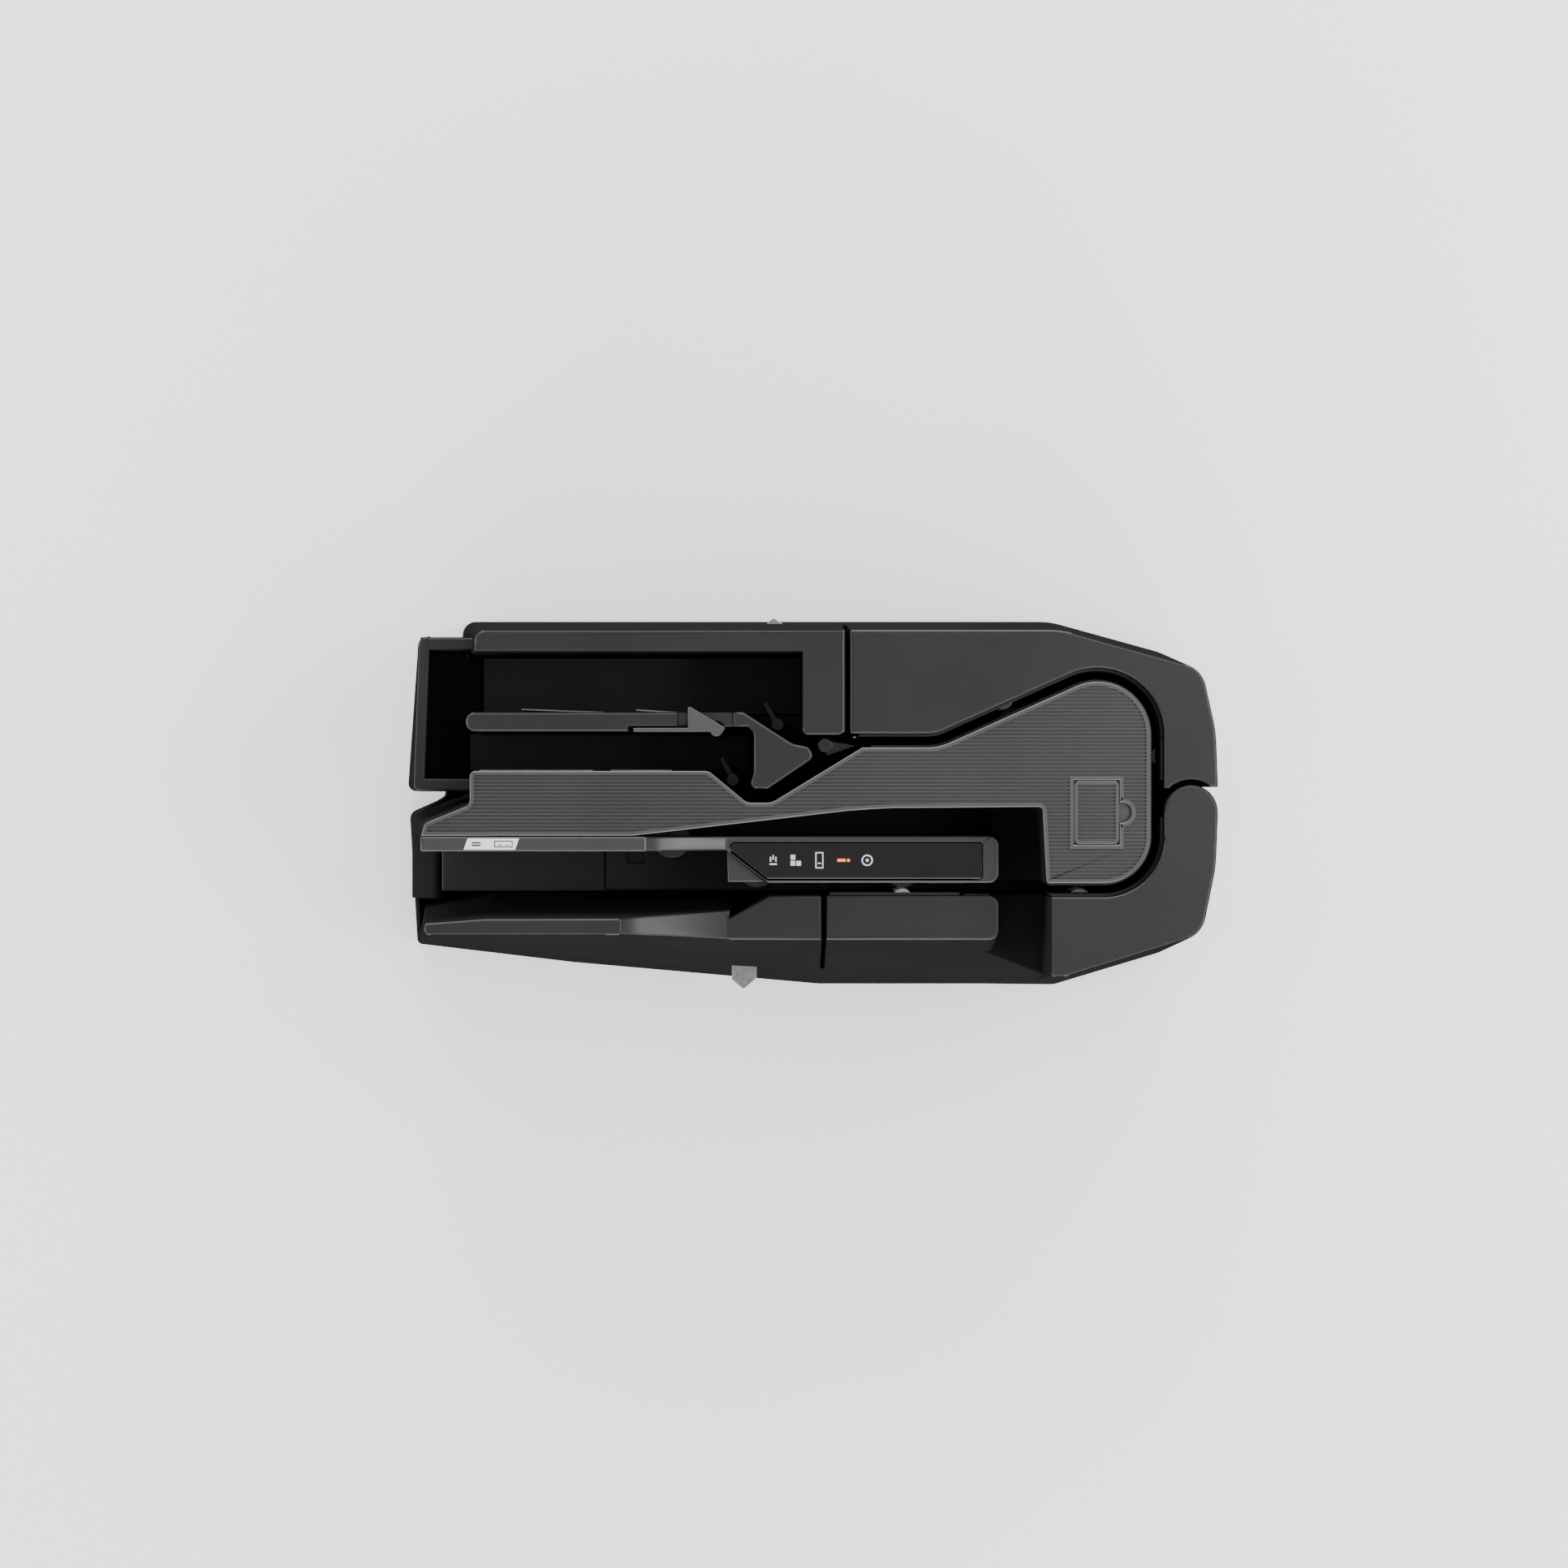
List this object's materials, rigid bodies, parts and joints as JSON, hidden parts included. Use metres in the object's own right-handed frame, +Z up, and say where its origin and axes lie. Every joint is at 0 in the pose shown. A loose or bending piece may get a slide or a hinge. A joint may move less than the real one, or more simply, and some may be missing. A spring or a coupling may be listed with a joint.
{
  "type": "sheet fed document scanner",
  "caption": "Desktop scanner feeding paper slips on edge from a hopper through a U-shaped track to exit pockets, with hinged rear covers.",
  "frame": {"origin": "middle of the bounding box, at the underside of the rubber feet", "axes": "+X from the user side to the hinge at the rear, +Y towards the exit pockets, +Z up"},
  "size_m": [0.4082, 0.1916, 0.1722],
  "materials": {
    "case_black": "fine moulded texture",
    "ribbed_grey": "moulded ribs",
    "panel_grey": "satin",
    "inner_black": "matt",
    "panel_gloss": "polished",
    "icon_white": "printed",
    "icon_orange": "lit legend",
    "label_paper": "printed sticker",
    "steel": "bright",
    "grip_rubber": "ground",
    "belt_rubber": "matt",
    "idler_white": "acetal",
    "pulley_white": "acetal",
    "motor_metal": "plated can",
    "sensor_glass": "glass faced",
    "board_green": "solder mask",
    "port_black": "matt",
    "tab_clear": "smoked clear"
  },
  "bodies": {
    "base": {"pocket_casing": "case_black", "hopper_casing": "case_black", "hopper_front_lip": "case_black", "pocket_divider": "case_black", "base_tray": "case_black", "island_cover": "ribbed_grey", "panel_bar": "panel_grey", "hopper_floor": "panel_grey", "chassis_deck": "inner_black", "main_pocket_floor": "inner_black", "sub_pocket_floor": "inner_black", "inner_track_guide": "inner_black", "cartridge_cradle": "inner_black", "panel_glass": "panel_gloss", "status_icons": "icon_white", "fault_icon": "icon_orange", "load_label_sticker": "label_paper", "hinge_pin": "steel", "case_screws": "steel", "pocket_leaf_guides": "steel", "magnetic_head": "steel", "usb_port": "steel", "network_port": "steel", "rubber_feet": "grip_rubber", "drive_belts": "belt_rubber", "drive_motor": "motor_metal", "feed_motor": "motor_metal", "gate_solenoid": "motor_metal", "front_image_sensor": "sensor_glass", "circuit_boards": "board_green", "power_inlet": "port_black", "ink_cartridge": "port_black"},
    "left_cover": {"left_rear_cover": "case_black", "left_cover_guide": "inner_black", "left_pressure_springs": "steel"},
    "right_cover": {"right_rear_cover": "case_black", "right_cover_guide": "inner_black", "right_pressure_springs": "steel", "rear_image_sensor": "sensor_glass"},
    "lid": {"cartridge_lid": "ribbed_grey"},
    "extension": {"pocket_extension": "case_black"},
    "main_kick": {"main_kicker": "inner_black"},
    "sub_kick": {"sub_kicker": "inner_black"},
    "gate": {"diverter_gate": "inner_black"},
    "guide_arm": {"stack_guide_arm": "inner_black"},
    "left_tab": {"left_latch": "tab_clear"},
    "right_tab": {"right_latch": "tab_clear"},
    "button": {"power_button": "port_black"},
    "feed_roller_front_set": {"feed_roller_front": "grip_rubber"},
    "feed_idler_front_roll": {"feed_idler_front": "idler_white"},
    "feed_roller_middle_set": {"feed_roller_middle": "grip_rubber"},
    "feed_idler_middle_roll": {"feed_idler_middle": "idler_white"},
    "feed_roller_rear_set": {"feed_roller_rear": "grip_rubber"},
    "feed_idler_rear_roll": {"feed_idler_rear": "idler_white"},
    "exit_roller_slant_set": {"exit_roller_slant": "grip_rubber"},
    "exit_idler_slant_roll": {"exit_idler_slant": "idler_white"},
    "pickup_set": {"pickup_roller": "grip_rubber"},
    "separator_set": {"separation_roller": "grip_rubber"},
    "drive_spindle": {"drive_motor_pulley": "pulley_white"},
    "feed_spindle": {"feed_motor_pulley": "pulley_white"}
  },
  "joints": [
    {"name": "left_cover_swing", "type": "hinge", "parent": "base", "child": "left_cover", "pos_m": [0.1911, -0.0033, 0.11], "axis": [0, 0, 1], "range_deg": [-40, 0]},
    {"name": "right_cover_swing", "type": "hinge", "parent": "base", "child": "right_cover", "pos_m": [0.1911, -0.0033, 0.11], "axis": [0, 0, 1], "range_deg": [0, 40]},
    {"name": "cartridge_lid_hinge", "type": "hinge", "parent": "base", "child": "lid", "pos_m": [0.1342, -0.0037, 0.172], "axis": [0, 1, 0], "range_deg": [-100, 0]},
    {"name": "extension_slide", "type": "slide", "parent": "base", "child": "extension", "axis": [-1, 0, 0], "range_m": [0, 0.05]},
    {"name": "main_kicker_swing", "type": "hinge", "parent": "base", "child": "main_kick", "pos_m": [-0.0097, 0.0394, 0.11], "axis": [0, 0, 1], "range_deg": [-12, 12], "stiffness_Nm_per_rad": 0.02},
    {"name": "sub_kicker_swing", "type": "hinge", "parent": "base", "child": "sub_kick", "pos_m": [-0.0317, 0.0122, 0.11], "axis": [0, 0, 1], "range_deg": [-12, 12], "stiffness_Nm_per_rad": 0.02},
    {"name": "gate_swing", "type": "hinge", "parent": "base", "child": "gate", "pos_m": [0.0135, 0.0289, 0.11], "axis": [0, 0, 1], "range_deg": [-6, 8], "stiffness_Nm_per_rad": 0.02},
    {"name": "guide_arm_swing", "type": "hinge", "parent": "base", "child": "guide_arm", "pos_m": [-0.0394, 0.0363, 0.11], "axis": [0, 0, 1], "range_deg": [0, 18], "stiffness_Nm_per_rad": 0.01},
    {"name": "left_latch_press", "type": "slide", "parent": "base", "child": "left_tab", "axis": [0, -1, 0], "range_m": [0, 0.003], "stiffness_N_per_m": 150, "springref_m": -0.002},
    {"name": "right_latch_press", "type": "slide", "parent": "base", "child": "right_tab", "axis": [0, 1, 0], "range_m": [0, 0.003], "stiffness_N_per_m": 150, "springref_m": -0.002},
    {"name": "power_button_press", "type": "slide", "parent": "base", "child": "button", "axis": [-1, 0, 0], "range_m": [0, 0.0015], "stiffness_N_per_m": 400, "springref_m": -0.001},
    {"name": "feed_roller_front_spin", "type": "hinge", "parent": "base", "child": "feed_roller_front_set", "pos_m": [0.052, -0.033, 0.11], "axis": [0, 0, 1], "continuous": true},
    {"name": "feed_roller_middle_spin", "type": "hinge", "parent": "base", "child": "feed_roller_middle_set", "pos_m": [0.14, -0.033, 0.11], "axis": [0, 0, 1], "continuous": true},
    {"name": "feed_roller_rear_spin", "type": "hinge", "parent": "base", "child": "feed_roller_rear_set", "pos_m": [0.1664, 0.024, 0.11], "axis": [0, 0, 1], "continuous": true},
    {"name": "exit_roller_slant_spin", "type": "hinge", "parent": "base", "child": "exit_roller_slant_set", "pos_m": [0.10735, 0.03962, 0.11], "axis": [0, 0, 1], "continuous": true},
    {"name": "drive_motor_spin", "type": "hinge", "parent": "base", "child": "drive_spindle", "pos_m": [0.016, -0.008, 0.11], "axis": [0, 0, 1], "continuous": true},
    {"name": "pickup_roller_spin", "type": "hinge", "parent": "base", "child": "pickup_set", "pos_m": [-0.062, -0.0176, 0.11], "axis": [0, 0, 1], "continuous": true},
    {"name": "separation_roller_spin", "type": "hinge", "parent": "base", "child": "separator_set", "pos_m": [-0.02, -0.032, 0.11], "axis": [0, 0, 1], "continuous": true},
    {"name": "feed_motor_spin", "type": "hinge", "parent": "base", "child": "feed_spindle", "pos_m": [-0.052, 0.006, 0.11], "axis": [0, 0, 1], "continuous": true},
    {"name": "feed_idler_front_spin", "type": "hinge", "parent": "right_cover", "child": "feed_idler_front_roll", "pos_m": [0.052, -0.0466, 0.11], "axis": [0, 0, 1], "continuous": true},
    {"name": "feed_idler_middle_spin", "type": "hinge", "parent": "right_cover", "child": "feed_idler_middle_roll", "pos_m": [0.14, -0.0466, 0.11], "axis": [0, 0, 1], "continuous": true},
    {"name": "feed_idler_rear_spin", "type": "hinge", "parent": "left_cover", "child": "feed_idler_rear_roll", "pos_m": [0.18, 0.024, 0.11], "axis": [0, 0, 1], "continuous": true},
    {"name": "exit_idler_slant_spin", "type": "hinge", "parent": "left_cover", "child": "exit_idler_slant_roll", "pos_m": [0.10179, 0.05203, 0.11], "axis": [0, 0, 1], "continuous": true}
  ],
  "couplings": [
    {"joint": "feed_roller_middle_spin", "follows": "feed_roller_front_spin", "ratio": 1},
    {"joint": "feed_roller_rear_spin", "follows": "feed_roller_front_spin", "ratio": 1},
    {"joint": "exit_roller_slant_spin", "follows": "feed_roller_front_spin", "ratio": 1},
    {"joint": "drive_motor_spin", "follows": "feed_roller_front_spin", "ratio": 1},
    {"joint": "separation_roller_spin", "follows": "pickup_roller_spin", "ratio": 1},
    {"joint": "feed_motor_spin", "follows": "pickup_roller_spin", "ratio": 1}
  ]
}
